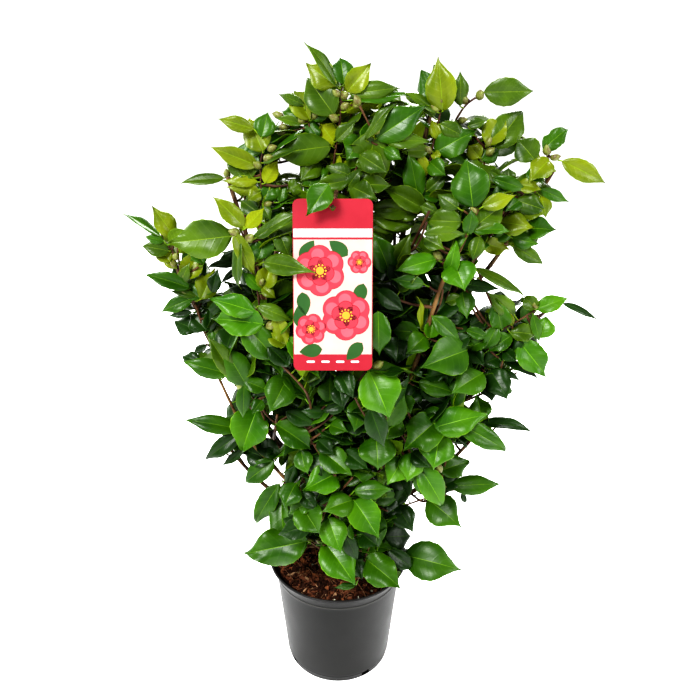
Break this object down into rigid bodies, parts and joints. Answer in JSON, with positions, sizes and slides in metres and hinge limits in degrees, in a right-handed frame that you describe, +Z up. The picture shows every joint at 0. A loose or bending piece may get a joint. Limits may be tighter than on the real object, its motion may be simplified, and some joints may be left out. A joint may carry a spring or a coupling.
{
  "type": "potted camellia shrub",
  "caption": "Evergreen camellia shrub in bud, with glossy pointed leaves on upright forking stems, rooted in a round plastic nursery pot that carries a hang tag.",
  "frame": {"origin": "centre of the flat underside of the pot", "axes": "+Z up along the pot's axis, -Y towards the front of the shrub, where the tag hangs"},
  "size_m": [0.5352, 0.3858, 0.8075],
  "materials": {
    "pot_plastic": "satin",
    "bark_chips": "matte",
    "tag_card": "satin",
    "stem_bark": "matte",
    "leaf_dark": "satin",
    "leaf_green": "satin",
    "leaf_young": "satin"
  },
  "bodies": {
    "root": {"pot": "pot_plastic", "potting_bark": "bark_chips", "hang_tag": "tag_card", "main_stem": "stem_bark", "centre_leader": "stem_bark", "right_main_bough": "stem_bark", "left_main_bough": "stem_bark", "right_leader": "stem_bark", "left_leader": "stem_bark", "back_right_bough": "stem_bark", "back_left_bough": "stem_bark", "front_bough": "stem_bark", "right_low_bough": "stem_bark", "left_low_bough": "stem_bark", "front_low_bough": "stem_bark", "right_foot_shoot": "stem_bark", "left_foot_shoot": "stem_bark", "right_top_bough": "stem_bark", "right_tip_bough": "stem_bark", "right_arm_bough": "stem_bark", "right_middle_bough": "stem_bark", "top_left_bough": "stem_bark", "left_elbow_bough": "stem_bark", "left_middle_bough": "stem_bark", "tag_shoot": "stem_bark", "top_centre_foliage": "leaf_young", "top_left_foliage": "leaf_young", "upper_left_foliage": "leaf_green", "left_arm_foliage": "leaf_young", "left_elbow_foliage": "leaf_green", "left_middle_foliage": "leaf_green", "left_lower_foliage": "leaf_green", "left_skirt_foliage": "leaf_dark", "pot_left_foliage": "leaf_green", "top_right_foliage": "leaf_young", "right_top_foliage": "leaf_young", "right_tip_foliage": "leaf_young", "right_upper_foliage": "leaf_green", "right_arm_foliage": "leaf_young", "right_middle_foliage": "leaf_green", "right_lower_foliage": "leaf_green", "right_skirt_foliage": "leaf_green", "pot_right_foliage": "leaf_green", "front_skirt_foliage": "leaf_dark", "front_right_foliage": "leaf_green", "front_low_foliage": "leaf_green", "front_left_foliage": "leaf_green", "inner_top_foliage": "leaf_dark", "heart_foliage": "leaf_dark", "front_upper_right_foliage": "leaf_green", "front_upper_left_foliage": "leaf_green", "right_heart_foliage": "leaf_green", "back_top_foliage": "leaf_green", "back_top_left_foliage": "leaf_green", "back_right_foliage": "leaf_green", "back_far_right_foliage": "leaf_green", "back_middle_foliage": "leaf_dark", "back_left_foliage": "leaf_dark", "back_low_left_foliage": "leaf_dark", "back_low_right_foliage": "leaf_dark"}
  },
  "joints": []
}
